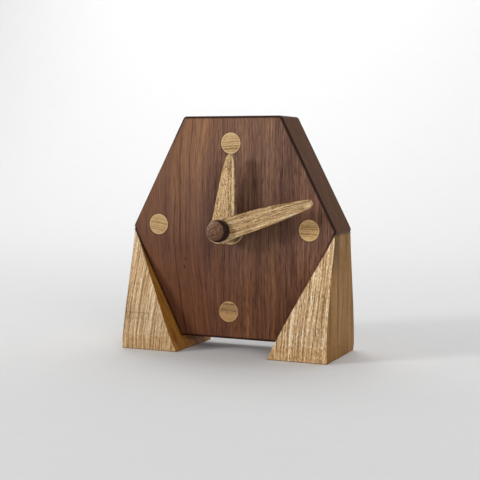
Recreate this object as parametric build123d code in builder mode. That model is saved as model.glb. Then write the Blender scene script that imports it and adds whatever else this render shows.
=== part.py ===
from build123d import *
from math import pi, sin, cos, tan, acos, radians, degrees, sqrt
import os

# ---------------------------------------------------------------------------
# Wooden desk clock: a thick walnut hexagon on two flared ash legs, wooden
# hands, and a quartz movement let into the back.
# Millimetres, +Z up, -Y is the dial side, X to the right seen from the front.
# The origin is on the floor, in the middle of the whole clock's box.
# ---------------------------------------------------------------------------

# slab
slab_w = 123.5          # width over the two side corners, before they are rounded
slab_t = 28.0           # thickness
top_half = 29.4         # half width of the top edge
bot_half = 30.9         # half width of the bottom edge
z_top = 132.5
z_mid = 69.7            # height of the side corners
z_bot = 7.3             # underside of the slab above the floor
corner_r = 2.2          # rounding of the six corners
edge_r = 1.3            # round-over of the front and back outlines
y_mid = 5.9             # slab's middle plane, so that the whole box is centred

# dial, laid out by hand: the shaft and the marks are up to 0.8 mm off true
dial_x = -0.6           # the shaft
dial_z = 69.35
inlay_d = 12.0
inlay_depth = 6.0
inlay_at = {"12": (-0.4, 117.4), "3": (46.2, 70.1), "6": (-1.3, 22.8), "9": (-45.4, 71.0)}
ring_d = 17.0           # light disc round the shaft
ring_t = 3.0
ring_proud = 0.6

# legs
leg_x = 61.1            # outer faces at the top
leg_foot_x = 61.8       # and at the floor
leg_edge_r = 0.45       # easing of the long edges
leg_flare = 13.8        # how far the foot stands out in front
back_flare = 7.2        # and behind
plinth = 8.0            # upright band at the foot
dowel_d = 6.0
dowel_half = 8.0        # depth in each piece

# hands: time shown is about 12:12
minute_angle = 72.7     # degrees clockwise from 12
hour_angle = minute_angle / 12.0
hand_t = 3.4
hour_back = 7.4         # distance of the hour hand's back from the dial
minute_back = 11.4
knob_r = 6.2
knob_len = 4.2

# movement
recess = 58.0           # square pocket in the back
web = 8.0               # wood left between the pocket and the dial
gasket_t = 0.6
case_w = 56.4
case_wall = 1.4
case_in = 13.2          # inner depth of the case
bush_r = 3.9            # threaded bush through the wood
pipe_r = 2.5            # hour pipe
rod_r = 1.7             # minute arbor
fit = 0.06              # running clearance of the small pivots

F = y_mid - slab_t / 2          # y of the dial face
slope = (slab_w / 2 - bot_half) / (z_mid - z_bot)
foot_in = bot_half - slope * z_bot
leg_top = (leg_x - foot_in) / slope

os.makedirs("parts", exist_ok=True)


def P(dep):
    """Plane parallel to the dial, dep in front of it, centred on the shaft."""
    return Plane(origin=(dial_x, F - dep, dial_z), x_dir=(1, 0, 0), z_dir=(0, -1, 0))


d_zero = web + gasket_t + case_wall     # inner front face of the case, behind the dial


def D(d):
    """Plane at depth d behind the inner front face of the movement's case."""
    return P(-d_zero - d)


def save(builder, name):
    builder.part.label = name
    export_step(builder.part, "parts/" + name + ".step")


# ------------------------------------------------------------------ toothing
def tooth_points(n, m, phase, add=0.78, ded=1.2, share=0.425):
    """Outline of a spur gear with slightly thinned involute teeth."""
    rp = n * m / 2
    rb = rp * cos(radians(20))
    ra = rp + add * m
    rf = rp - ded * m
    inv = lambda a: tan(a) - a
    psi_p = share * pi / n

    def psi(r):
        if r <= rb:
            return psi_p + inv(radians(20))
        return psi_p + inv(radians(20)) - inv(acos(rb / r))

    radii = [rf, max(rb, rf + 0.35 * m), (max(rb, rf + 0.35 * m) + ra) / 2, ra]
    pts = []
    for k in range(n):
        c = radians(phase) + 2 * pi * k / n
        for r in radii:
            pts.append((r * cos(c - psi(r)), r * sin(c - psi(r))))
        for r in reversed(radii):
            pts.append((r * cos(c + psi(r)), r * sin(c + psi(r))))
    return pts


def mesh_phase(n_a, phase_a, theta, n_b):
    """Phase of gear B so that it meshes with gear A, B lying at angle theta."""
    f = ((theta - phase_a) / (360.0 / n_a)) % 1.0
    return theta + 180.0 + (f - 0.5) * 360.0 / n_b


def shifted(pts, c):
    return [(x + c[0], y + c[1]) for x, y in pts]


def polar(c, r, a):
    return (c[0] + r * cos(radians(a)), c[1] + r * sin(radians(a)))


# wheel centres in the plane of the dial, from the shaft
m_cannon, m_hour = 0.35, 0.336
m_centre, m_third = 0.25, 9.0 / 34
m_sec, m_rot = 0.26, 0.22
c_shaft = (0.0, 0.0)
th_work = -20.0
c_work = polar(c_shaft, m_cannon * 24, th_work)
th_set = -10.0
c_set = polar(c_work, m_cannon * 27, th_set)
th_third = 180.0
c_third = polar(c_shaft, 9.0, th_third)
th_inter = 70.0
c_inter = polar(c_shaft, m_sec * 35, th_inter)
th_rotor = 100.0
c_rotor = polar(c_inter, m_rot * 24, th_rotor)

ph_cannon = 0.0
ph_work = mesh_phase(12, ph_cannon, th_work, 36)
ph_workpin = 7.0
ph_hour = mesh_phase(10, ph_workpin, th_work + 180, 40)
ph_set = mesh_phase(36, ph_work, th_set, 18)
ph_centre = 0.0
ph_thirdpin = mesh_phase(64, ph_centre, th_third, 8)
ph_third = 0.0
ph_secpin = mesh_phase(60, ph_third, th_third + 180, 8)
ph_sec = 0.0
ph_interpin = mesh_phase(60, ph_sec, th_inter, 10)
ph_inter = 0.0
ph_rotorpin = mesh_phase(40, ph_inter, th_rotor, 8)

# ---------------------------------------------------------------------- slab
hexagon = [(-bot_half, z_bot), (bot_half, z_bot), (slab_w / 2, z_mid),
           (top_half, z_top), (-top_half, z_top), (-slab_w / 2, z_mid)]

# dowel positions on the right-hand slope: height on the slope and its surface x
slope_ang = degrees(acos(1 / sqrt(1 + slope * slope)))       # from the vertical
dowel_z = (21.0, 37.0)


def dowel_plane(z, side):
    x = foot_in + slope * z
    n = (side * cos(radians(slope_ang)), 0, -sin(radians(slope_ang)))
    return Plane(origin=(side * x, y_mid, z), x_dir=(0, 1, 0), z_dir=n)


with BuildPart() as body:
    with BuildSketch(Plane(origin=(0, F, 0), x_dir=(1, 0, 0), z_dir=(0, -1, 0))):
        with BuildLine():
            Polyline(*hexagon, close=True)
        make_face()
    extrude(amount=-slab_t)
    fillet(body.edges().filter_by(Axis.Y), corner_r)
    fillet(body.faces().filter_by(Axis.Y).edges(), edge_r)
    # pocket for the movement, cut from the back
    with BuildSketch(P(-slab_t)):
        RectangleRounded(recess, recess, 3.5)
    extrude(amount=slab_t - web, mode=Mode.SUBTRACT)
    # way through for the threaded bush, and the seat of the light disc
    with BuildSketch(P(-web)):
        Circle(bush_r + 0.2)
    extrude(amount=web, mode=Mode.SUBTRACT)
    with BuildSketch(P(-(ring_t - ring_proud))):
        Circle(ring_d / 2)
    extrude(amount=ring_t, mode=Mode.SUBTRACT)
    # seats of the four hour marks
    with BuildSketch(Plane(origin=(0, F + inlay_depth, 0), x_dir=(1, 0, 0), z_dir=(0, -1, 0))):
        with Locations(*inlay_at.values()):
            Circle(inlay_d / 2)
    extrude(amount=inlay_depth + 1, mode=Mode.SUBTRACT)
    # blind holes for the leg dowels
    for side in (1, -1):
        for z in dowel_z:
            with BuildSketch(dowel_plane(z, side).offset(-dowel_half)):
                Circle(dowel_d / 2)
            extrude(amount=dowel_half + 0.5, mode=Mode.SUBTRACT)
save(body, "body")

for name, at in inlay_at.items():
    with BuildPart() as inlay:
        with BuildSketch(Plane(origin=(0, F + inlay_depth, 0), x_dir=(1, 0, 0), z_dir=(0, -1, 0))):
            with Locations(at):
                Circle(inlay_d / 2)
        extrude(amount=inlay_depth)
    save(inlay, "inlay_" + name)

with BuildPart() as centre_ring:
    with BuildSketch(P(-(ring_t - ring_proud))):
        Circle(ring_d / 2)
        Circle(bush_r + 0.2, mode=Mode.SUBTRACT)
    extrude(amount=ring_t)
    fillet(centre_ring.faces().sort_by(Axis.Y)[0].edges().sort_by(SortBy.LENGTH)[-1], 0.4)
save(centre_ring, "centre_ring")

# ---------------------------------------------------------------------- legs
# side profile of the foot: flush with the slab at the top, flaring to the plinth
flare_pts = [(leg_top + 0.4, -0.004), (60, 0.092), (50, 0.300), (40, 0.517), (30, 0.725),
             (22, 0.867), (15, 0.950), (plinth, 1.0)]      # height, part of the flare
left_pts = [(leg_top + 0.4, -0.004), (60, 0.080), (50, 0.262), (40, 0.452), (30, 0.640),
            (22, 0.785), (15, 0.900), (plinth, 1.0)]       # the left foot is cut a little straighter in front
half_t = slab_t / 2


def make_leg(side):
    with BuildPart() as leg:
        with BuildSketch(Plane(origin=(0, y_mid - 40, 0), x_dir=(1, 0, 0), z_dir=(0, -1, 0))):
            with BuildLine():
                Polyline((side * foot_in, 0), (side * leg_foot_x, 0), (side * leg_x, leg_top), close=True)
            make_face()
        extrude(amount=-80)
        with BuildSketch(Plane(origin=(side * 20, y_mid, 0), x_dir=(0, 1, 0), z_dir=(1, 0, 0))):
            with BuildLine():
                fr = Spline(*[(-(half_t + f * leg_flare), z) for z, f in reversed(flare_pts if side > 0 else left_pts)])
                bk = Spline(*[(half_t + f * back_flare, z) for z, f in flare_pts])
                Line(fr @ 1, bk @ 0)
                # the heel draws in a little towards the floor
                Line(bk @ 1, (half_t + back_flare - 0.3, 4.0))
                Line((half_t + back_flare - 0.3, 4.0), (half_t + back_flare - 2.0, 0))
                Line((half_t + back_flare - 2.0, 0), (-(half_t + leg_flare), 0))
                Line((-(half_t + leg_flare), 0), fr @ 0)
            make_face()
        extrude(amount=side * 60, mode=Mode.INTERSECT)
        # ease the outer long edges in front and behind
        outer = leg.faces().sort_by(Axis.X)[-1 if side > 0 else 0]
        fillet(outer.edges().filter_by(lambda e: e.length > 30 and e.bounding_box().size.Z > 30), leg_edge_r)
        chamfer(leg.faces().sort_by(Axis.Z)[0].edges(), 0.3)
        for z in dowel_z:
            with BuildSketch(dowel_plane(z, side)):
                Circle(dowel_d / 2)
            extrude(amount=dowel_half, mode=Mode.SUBTRACT)
    return leg


left_leg = make_leg(-1)
save(left_leg, "left_leg")
right_leg = make_leg(1)
save(right_leg, "right_leg")

with BuildPart() as leg_dowels:
    for side in (1, -1):
        for z in dowel_z:
            with BuildSketch(dowel_plane(z, side).offset(-dowel_half + 0.3)):
                Circle(dowel_d / 2)
            extrude(amount=2 * dowel_half - 0.6)
save(leg_dowels, "leg_dowels")

# --------------------------------------------------------------------- hands
# half outlines: distance along the hand from the shaft, and half width there
minute_half = [(-7.9, 0), (-6.1, 4.5), (-3.2, 6.35), (0, 7.0), (5, 6.5), (12, 5.9), (20, 5.55), (30, 4.95),
               (40, 4.05), (47, 3.2), (51.9, 2.5), (54.5, 1.7), (55.4, 0)]
hour_half = [(-7.4, 0), (-5.3, 5.3), (0, 7.4), (6, 6.75), (12, 6.1), (19, 5.4), (26, 4.65),
             (33, 3.7), (38, 2.85), (41.2, 1.75), (42.2, 0)]


def hand_xy(s, t, ang):
    a = radians(ang)
    return (s * sin(a) + t * cos(a), s * cos(a) - t * sin(a))


def make_hand(half, ang, back, bore):
    right = [hand_xy(s, t, ang) for s, t in half]
    left = [hand_xy(s, -t, ang) for s, t in half[1:-1]]
    with BuildPart() as hand:
        with BuildSketch(P(back)):
            with BuildLine():
                Spline(*right, *reversed(left), periodic=True)
            make_face()
        extrude(amount=hand_t)
        fillet(hand.faces().sort_by(Axis.Y)[0].edges(), 0.5)
        chamfer(hand.faces().sort_by(Axis.Y)[-1].edges(), 0.25)
        with BuildSketch(P(back - 1)):
            Circle(bore)
        extrude(amount=hand_t + 2, mode=Mode.SUBTRACT)
    return hand


hour_bush_r, minute_bush_r = 3.6, 3.0
hour_hand = make_hand(hour_half, hour_angle, hour_back, hour_bush_r)
save(hour_hand, "hour_hand")
minute_hand = make_hand(minute_half, minute_angle, minute_back, minute_bush_r)
save(minute_hand, "minute_hand")

with BuildPart() as hour_bush:
    with BuildSketch(P(hour_back - 0.4)):
        Circle(5.0)
        Circle(pipe_r, mode=Mode.SUBTRACT)
    extrude(amount=0.4)
    with BuildSketch(P(hour_back)):
        Circle(hour_bush_r)
        Circle(pipe_r, mode=Mode.SUBTRACT)
    extrude(amount=hand_t)
save(hour_bush, "hour_hand_bush")

with BuildPart() as minute_bush:
    with BuildSketch(P(minute_back - 0.3)):
        Circle(4.2)
        Circle(rod_r, mode=Mode.SUBTRACT)
    extrude(amount=0.3)
    with BuildSketch(P(minute_back)):
        Circle(minute_bush_r)
        Circle(rod_r, mode=Mode.SUBTRACT)
    extrude(amount=hand_t)
save(minute_bush, "minute_hand_bush")

knob_back = minute_back + hand_t
insert_r, thread_r = 3.2, 1.2
with BuildPart() as knob:
    with BuildSketch(P(knob_back)):
        Circle(knob_r)
    extrude(amount=knob_len)
    fillet(knob.faces().sort_by(Axis.Y)[0].edges(), 1.5)
    with BuildSketch(P(knob_back)):
        Circle(insert_r)
    extrude(amount=2.6, mode=Mode.SUBTRACT)
save(knob, "knob")

with BuildPart() as knob_insert:
    with BuildSketch(P(knob_back)):
        Circle(insert_r)
    extrude(amount=2.6)
    with BuildSketch(P(knob_back)):
        Circle(thread_r)
    extrude(amount=2.3, mode=Mode.SUBTRACT)
save(knob_insert, "knob_insert")

# ------------------------------------------------------- fixing of the movement
with BuildPart() as gasket:
    with BuildSketch(P(-web - gasket_t)):
        Circle(10.0)
        Circle(bush_r + 0.1, mode=Mode.SUBTRACT)
    extrude(amount=gasket_t)
save(gasket, "rubber_gasket")

with BuildPart() as washer:
    with BuildSketch(P(ring_proud)):
        Circle(6.4)
        Circle(bush_r + 0.15, mode=Mode.SUBTRACT)
    extrude(amount=0.5)
save(washer, "fixing_washer")

with BuildPart() as nut:
    with BuildSketch(P(ring_proud + 0.5)):
        RegularPolygon(5.0, 6, major_radius=False)
        Circle(bush_r, mode=Mode.SUBTRACT)
    extrude(amount=2.2)
    chamfer(nut.faces().sort_by(Axis.Y)[0].edges().filter_by(GeomType.LINE), 0.25)
save(nut, "fixing_nut")

bush_front = 4.2
with BuildPart() as bush:
    with BuildSketch(D(0)):
        Circle(bush_r)
        Circle(pipe_r + 0.08, mode=Mode.SUBTRACT)
    extrude(amount=d_zero + bush_front)
    chamfer(bush.faces().sort_by(Axis.Y)[0].edges().sort_by(SortBy.LENGTH)[-1], 0.4)
save(bush, "threaded_bush")

# --------------------------------------------------------- movement: the case
hw = case_w / 2
in_hw = hw - case_wall
div_lo, div_hi = -11.6, -10.4          # wall between the cell's bay and the wheels
plate_posts = [(-15.0, -8.2), (-15.0, 15.5), (23.5, -8.2), (23.5, 15.5)]
board_posts = [(-22.6, -5.5), (-22.6, 22.0)]
d_plate, plate_t = 4.0, 1.0
d_board, board_t = 8.6, 1.0
bay_c = (-hw + case_wall + div_lo) / 2  # centre height of the cell's bay

with BuildPart() as case:
    with BuildSketch(D(case_in)):
        RectangleRounded(case_w, case_w, 2.5)
    extrude(amount=case_in + case_wall)
    with BuildSketch(D(case_in)):
        with Locations((0, (div_hi + in_hw) / 2)):
            Rectangle(2 * in_hw, in_hw - div_hi)
        with Locations((0, bay_c)):
            Rectangle(2 * in_hw, div_lo + in_hw)
    extrude(amount=case_in, mode=Mode.SUBTRACT)
    # posts for the middle plate and the circuit board
    with BuildSketch(D(d_plate)):
        with Locations(*plate_posts):
            Circle(1.5)
    extrude(amount=d_plate)
    with BuildSketch(D(d_plate + plate_t + 0.4)):
        with Locations(*plate_posts):
            Circle(0.8)
    extrude(amount=plate_t + 0.4)
    with BuildSketch(D(d_board)):
        with Locations(*board_posts):
            Circle(1.2)
    extrude(amount=d_board)
    with BuildSketch(D(d_board + board_t + 0.4)):
        with Locations(*board_posts):
            Circle(0.6)
    extrude(amount=board_t + 0.4)
    # hole for the bush, and blind pivot holes
    with BuildSketch(D(0)):
        Circle(bush_r)
    extrude(amount=case_wall, mode=Mode.SUBTRACT)
    with BuildSketch(D(0)):
        with Locations(c_work, c_set):
            Circle(0.6 + fit)
    extrude(amount=0.9, mode=Mode.SUBTRACT)
    # notches in the dividing wall for the two contact strips
    with BuildSketch(D(case_in)):
        with Locations((-in_hw + 0.25, (div_lo + div_hi) / 2), (in_hw - 0.25, (div_lo + div_hi) / 2)):
            Rectangle(0.5, div_hi - div_lo + 0.02)
    extrude(amount=5.0, mode=Mode.SUBTRACT)
    # finger notch in the lower wall, to lift the cell out
    with BuildSketch(D(case_in)):
        with Locations((0, -hw + case_wall / 2)):
            Rectangle(18.0, case_wall + 0.02)
    extrude(amount=7.0, mode=Mode.SUBTRACT)
save(case, "movement_case")

d_cover = case_in
with BuildPart() as cover:
    with BuildSketch(D(d_cover + case_wall)):
        with Locations((0, (div_lo + hw) / 2)):
            RectangleRounded(case_w, hw - div_lo, 2.0)
    extrude(amount=case_wall)
    # rim that locates the cover inside the case
    with BuildSketch(D(d_cover)):
        with Locations((0, (div_hi + in_hw) / 2)):
            RectangleRounded(2 * in_hw - 0.1, in_hw - div_hi - 0.1, 1.15)
            RectangleRounded(2 * in_hw - 2.1, in_hw - div_hi - 2.1, 0.6, mode=Mode.SUBTRACT)
    extrude(amount=0.9)
    with BuildSketch(D(d_cover + case_wall)):
        with Locations(c_set):
            Circle(1.5 + fit)
    extrude(amount=3, mode=Mode.SUBTRACT)
    # shallow moulded dish, a thumb rest for handling the movement
    with BuildSketch(D(d_cover + case_wall)):
        with Locations((0, 22.5)):
            SlotOverall(24, 5)
    extrude(amount=0.4, mode=Mode.SUBTRACT)
save(cover, "movement_cover")

# -------------------------------------------------------- plates of the train
stator_posts = [(-12.5, 11.6), (16.9, 11.6)]
bridge_posts = [(-16.3, 10.4), (4.2, -8.9), (13.0, 6.0)]
d_bridge, bridge_t = 11.2, 0.8
d_stator, stator_t = 7.4, 0.6
with BuildPart() as plate:
    with BuildSketch(D(d_plate + plate_t)):
        with Locations(((-17.9 + 26.5) / 2, (-10.2 + 17.6) / 2)):
            RectangleRounded(26.5 + 17.9, 17.6 + 10.2, 1.0)
        with Locations(*plate_posts):
            Circle(0.8, mode=Mode.SUBTRACT)
        with Locations(c_shaft):
            Circle(1.0 + fit, mode=Mode.SUBTRACT)
        with Locations(c_work):
            Circle(0.5 + fit, mode=Mode.SUBTRACT)
        with Locations(c_set):
            Circle(1.5 + fit, mode=Mode.SUBTRACT)
        with Locations(c_third, c_inter, c_rotor):
            Circle(0.35 + fit, mode=Mode.SUBTRACT)
        with Locations(*bridge_posts):
            Circle(0.6, mode=Mode.SUBTRACT)
    extrude(amount=plate_t)
    with BuildSketch(D(d_stator)):
        with Locations(*stator_posts):
            Circle(1.1)
    extrude(amount=d_stator - d_plate - plate_t)
    with BuildSketch(D(d_stator + stator_t + 0.4)):
        with Locations(*stator_posts):
            Circle(0.6)
    extrude(amount=stator_t + 0.4)
save(plate, "middle_plate")

with BuildPart() as bridge:
    with BuildSketch(D(d_bridge + bridge_t)):
        with BuildLine():
            Polyline((-17.8, 8.0), (-17.8, 12.2), (-12.0, 16.6), (6.0, 16.6), (14.6, 8.4),
                     (14.6, 4.0), (6.2, -10.1), (2.0, -10.1), (-12.6, -4.0), close=True)
        make_face()
        with Locations(c_shaft, c_third, c_inter, c_rotor):
            Circle(0.35 + fit, mode=Mode.SUBTRACT)
    extrude(amount=bridge_t)
    with BuildSketch(D(d_bridge)):
        with Locations(*bridge_posts):
            Circle(1.15)
    extrude(amount=d_bridge - d_plate - plate_t)
    with BuildSketch(D(d_plate + plate_t)):
        with Locations(*bridge_posts):
            Circle(0.6)
    extrude(amount=0.8)
save(bridge, "train_bridge")


# -------------------------------------------------------------------- wheels
def gear(n, m, phase, c, d1, d2, holes=()):
    """Toothed disc between depths d1 and d2, with round holes through its web."""
    return ("gear", shifted(tooth_points(n, m, phase), c), c, 0, d1, d2, holes)


def rod(c, r, d1, d2):
    return ("rod", None, c, r, d1, d2, ())


def bore(c, r, d1, d2):
    return ("bore", None, c, r, d1, d2, ())


def spokes(c, r, k, size, ph=0.0):
    return [(polar(c, r, ph + i * 360.0 / k), size) for i in range(k)]


def turned(*features):
    """One arbor: every feature is a disc, rod or bore on its axis."""
    with BuildPart() as piece:
        for kind, outline, c, r, d1, d2, holes in features:
            with BuildSketch(D(d2)):
                if kind == "gear":
                    with BuildLine():
                        Polyline(*outline, close=True)
                    make_face()
                    for hole_c, hole_r in holes:
                        with Locations(hole_c):
                            Circle(hole_r, mode=Mode.SUBTRACT)
                else:
                    with Locations(c):
                        Circle(r)
            extrude(amount=d2 - d1, mode=Mode.SUBTRACT if kind == "bore" else Mode.ADD)
    return piece


pipe_end = -(d_zero + hour_back + hand_t - 0.2)     # depth of the pipe's front end
hour_wheel = turned(
    gear(40, m_hour, ph_hour, c_shaft, 0.4, 1.4),
    rod(c_shaft, pipe_r, pipe_end, 1.8),
    bore(c_shaft, rod_r + 0.08, pipe_end - 1, 2.8))
save(hour_wheel, "hour_wheel")

rod_end = -(d_zero + knob_back)
minute_arbor = turned(
    rod(c_shaft, thread_r, rod_end - 2.2, rod_end),
    rod(c_shaft, rod_r, rod_end, 2.0),
    gear(12, m_cannon, ph_cannon, c_shaft, 2.0, 3.3),
    rod(c_shaft, 1.5, 3.3, 3.8),
    rod(c_shaft, 1.0, 3.8, 6.7),
    bore(c_shaft, 0.3 + fit, 5.7, 6.8))
save(minute_arbor, "minute_arbor")

work_wheel = turned(
    gear(10, m_hour, ph_workpin, c_work, 0.25, 2.2),
    gear(36, m_cannon, ph_work, c_work, 2.2, 3.1, spokes(c_work, 4.0, 4, 1.0, 45)),
    rod(c_work, 0.6, -0.75, 0.25),
    rod(c_work, 1.1, 3.1, 3.8),
    rod(c_work, 0.5, 3.8, 4.9))
save(work_wheel, "minute_work_wheel")

with BuildPart() as setting:
    with BuildSketch(D(3.3)):
        with BuildLine():
            Polyline(*shifted(tooth_points(18, m_cannon, ph_set), c_set), close=True)
        make_face()
    extrude(amount=1.3)
    with BuildSketch(D(2.0)):
        with Locations(c_set):
            Circle(0.6)
    extrude(amount=2.75)
    with BuildSketch(D(14.8)):
        with Locations(c_set):
            Circle(1.5)
    extrude(amount=14.8 - 3.3)
    # fluted wheel outside the cover
    with BuildSketch(D(15.85)):
        with Locations(c_set):
            Circle(5.0)
        with Locations(*[polar(c_set, 5.3, i * 30) for i in range(12)]):
            Circle(0.7, mode=Mode.SUBTRACT)
    extrude(amount=1.05)
save(setting, "setting_knob")

centre_wheel = turned(
    gear(64, m_centre, ph_centre, c_shaft, 5.5, 6.2, spokes(c_shaft, 4.8, 5, 1.5, 18)),
    rod(c_shaft, 2.1, 5.2, 6.5),
    bore(c_shaft, 1.0 + fit, 5.0, 6.8))
save(centre_wheel, "centre_wheel")

third_wheel = turned(
    gear(8, m_centre, ph_thirdpin, c_third, 5.3, 6.8),
    gear(60, m_third, ph_third, c_third, 7.2, 7.8, spokes(c_third, 4.8, 5, 1.5, 10)),
    rod(c_third, 0.7, 6.8, 8.2),
    rod(c_third, 0.35, 4.2, 5.3),
    rod(c_third, 0.35, 8.2, 11.9))
save(third_wheel, "third_wheel")

seconds_wheel = turned(
    gear(8, m_third, ph_secpin, c_shaft, 6.95, 8.2),
    gear(60, m_sec, ph_sec, c_shaft, 8.6, 9.2, spokes(c_shaft, 4.6, 4, 1.5, 45)),
    rod(c_shaft, 0.75, 8.2, 9.6),
    rod(c_shaft, 0.3, 5.9, 6.95),
    rod(c_shaft, 0.35, 9.6, 11.9))
save(seconds_wheel, "seconds_wheel")

inter_wheel = turned(
    gear(10, m_sec, ph_interpin, c_inter, 8.3, 9.6),
    gear(40, m_rot, ph_inter, c_inter, 10.0, 10.6, spokes(c_inter, 2.7, 4, 0.8, 45)),
    rod(c_inter, 0.7, 9.6, 10.8),
    rod(c_inter, 0.35, 4.2, 8.3),
    rod(c_inter, 0.35, 10.8, 11.9))
save(inter_wheel, "intermediate_wheel")

rotor = turned(
    rod(c_rotor, 0.35, 4.2, 5.2),
    rod(c_rotor, 0.62, 5.2, 9.7),
    gear(8, m_rot, ph_rotorpin, c_rotor, 9.7, 10.8),
    rod(c_rotor, 0.35, 10.8, 11.9))
save(rotor, "rotor_pinion")

magnet = turned(
    rod(c_rotor, 3.0, 6.6, 8.8),
    bore(c_rotor, 0.62, 6.0, 9.4))
save(magnet, "rotor_magnet")

# ------------------------------------------------------ motor and electronics
coil_z = 22.2
with BuildPart() as stator:
    with BuildSketch(D(d_stator + stator_t)):
        with BuildLine():
            Polyline((-14.0, 9.7), (18.4, 9.7), (18.4, 23.7), (15.4, 23.7), (15.4, 17.9),
                     (-11.0, 17.9), (-11.0, 23.7), (-14.0, 23.7), close=True)
        make_face()
        with Locations(c_rotor):
            Circle(3.6, mode=Mode.SUBTRACT)
        with Locations(*stator_posts):
            Circle(0.6, mode=Mode.SUBTRACT)
    extrude(amount=stator_t)
save(stator, "stator")

with BuildPart() as core:
    with BuildSketch(D(d_stator)):
        with Locations((2.2, coil_z)):
            Rectangle(32.4, 3.0)
    extrude(amount=0.8)
save(core, "coil_core")

coil_x0, coil_x1 = -10.2, 14.6
core_mid = d_stator - 0.4
coil_plane = Plane(origin=(dial_x + coil_x0, F + d_zero + core_mid, dial_z + coil_z), x_dir=(0, 1, 0), z_dir=(1, 0, 0))
with BuildPart() as bobbin:
    with BuildSketch(coil_plane):
        RectangleRounded(2.0, 4.2, 0.4)
        Rectangle(0.8, 3.0, mode=Mode.SUBTRACT)
    extrude(amount=coil_x1 - coil_x0)
    for x in (0, coil_x1 - coil_x0 - 0.7):
        with BuildSketch(coil_plane.offset(x)):
            RectangleRounded(5.4, 8.0, 1.2)
            Rectangle(0.8, 3.0, mode=Mode.SUBTRACT)
        extrude(amount=0.7)
save(bobbin, "coil_bobbin")

with BuildPart() as winding:
    with BuildSketch(coil_plane.offset(0.7)):
        RectangleRounded(4.8, 7.2, 1.4)
        RectangleRounded(2.0, 4.2, 0.4, mode=Mode.SUBTRACT)
    extrude(amount=coil_x1 - coil_x0 - 1.4)
save(winding, "coil_winding")

with BuildPart() as board:
    with BuildSketch(D(d_board + board_t)):
        with Locations((-22.45, 8.1)):
            Rectangle(8.1, 36.4)
        with Locations(*board_posts):
            Circle(0.6, mode=Mode.SUBTRACT)
    extrude(amount=board_t)
save(board, "circuit_board")

with BuildPart() as chip:
    with BuildSketch(D(d_board + board_t + 1.0)):
        with Locations((-22.4, 5.5)):
            Circle(2.4)
    extrude(amount=1.0)
    fillet(chip.faces().sort_by(Axis.Y)[-1].edges(), 0.8)
save(chip, "clock_chip")

crystal_plane = Plane(origin=(dial_x - 24.6, F + d_zero + d_board + board_t + 1.0, dial_z + 10.6), z_dir=(0, 0, 1))
with BuildPart() as crystal:
    with BuildSketch(crystal_plane):
        Circle(1.0)
    extrude(amount=6.2)
save(crystal, "quartz_crystal")

# ------------------------------------------------------------- cell and contacts
cell_r = 7.1
cell_d = 7.35                      # depth of the cell's axis in the case
cell_plane = Plane(origin=(dial_x - 24.4, F + d_zero + cell_d, dial_z + bay_c), x_dir=(0, 1, 0), z_dir=(1, 0, 0))
with BuildPart() as cell:
    with BuildSketch(cell_plane):
        Circle(cell_r)
    extrude(amount=49.0)
    fillet(cell.edges().filter_by(GeomType.CIRCLE), 0.5)
    with BuildSketch(cell_plane.offset(-1.0)):
        Circle(2.7)
    extrude(amount=1.3)
save(cell, "aa_cell")

with BuildPart() as contact_pos:
    with BuildSketch(D(12.2)):
        with Locations((-in_hw + 0.15, bay_c)):
            Rectangle(0.3, 11.0)
    extrude(amount=9.7)
    with BuildSketch(cell_plane.offset(-1.06 - (in_hw - 25.4 - 0.06))):
        Circle(2.0)
    extrude(amount=in_hw - 25.4 - 0.06)
    with BuildSketch(D(9.8)):
        with Locations((-in_hw + 0.15, (bay_c + 5.5 - 7.0) / 2)):
            Rectangle(0.3, -7.0 - (bay_c + 5.5) + 0.4)
    extrude(amount=1.4)
save(contact_pos, "contact_positive")

spring_x = 24.66
with BuildPart() as contact_neg:
    with BuildSketch(D(11.8)):
        with Locations((in_hw - 0.15, bay_c)):
            Rectangle(0.3, 11.0)
    extrude(amount=9.2)
    # bent tongue that presses on the flat end of the cell
    with BuildSketch(D(9.6)):
        with BuildLine():
            Polyline((in_hw - 0.3, bay_c + 4.6), (in_hw - 0.3, bay_c + 4.2), (spring_x + 0.3, bay_c + 1.0),
                     (spring_x + 0.3, bay_c - 1.0), (in_hw - 0.9, bay_c - 4.0), (in_hw - 1.2, bay_c - 3.9),
                     (spring_x, bay_c - 1.1), (spring_x, bay_c + 1.1), close=True)
        make_face()
    extrude(amount=4.6)
    # strip that runs back along the dividing wall to the circuit board
    with BuildSketch(D(12.0)):
        with Locations((in_hw - 0.15, (bay_c + 5.5 + div_hi + 0.3) / 2)):
            Rectangle(0.3, div_hi + 0.3 - bay_c - 5.5 + 0.02)
    extrude(amount=1.2)
    with BuildSketch(D(12.0)):
        with Locations(((in_hw - 26.3) / 2, div_hi + 0.15)):
            Rectangle(in_hw + 26.3, 0.3)
    extrude(amount=1.2)
    with BuildSketch(D(12.0)):
        with Locations((-22.6, div_hi + 0.15)):
            Rectangle(3.0, 0.3)
    extrude(amount=12.0 - d_board - board_t)
save(contact_neg, "contact_negative")

print("box y", y_mid - half_t - leg_flare, y_mid + half_t + back_flare, "knob front", F - knob_back - knob_len)
print("leg top z", round(leg_top, 2), "foot inner x", round(foot_in, 2))
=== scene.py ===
import bpy
from math import sin, cos, radians, pi
from mathutils import Matrix, Vector


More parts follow.
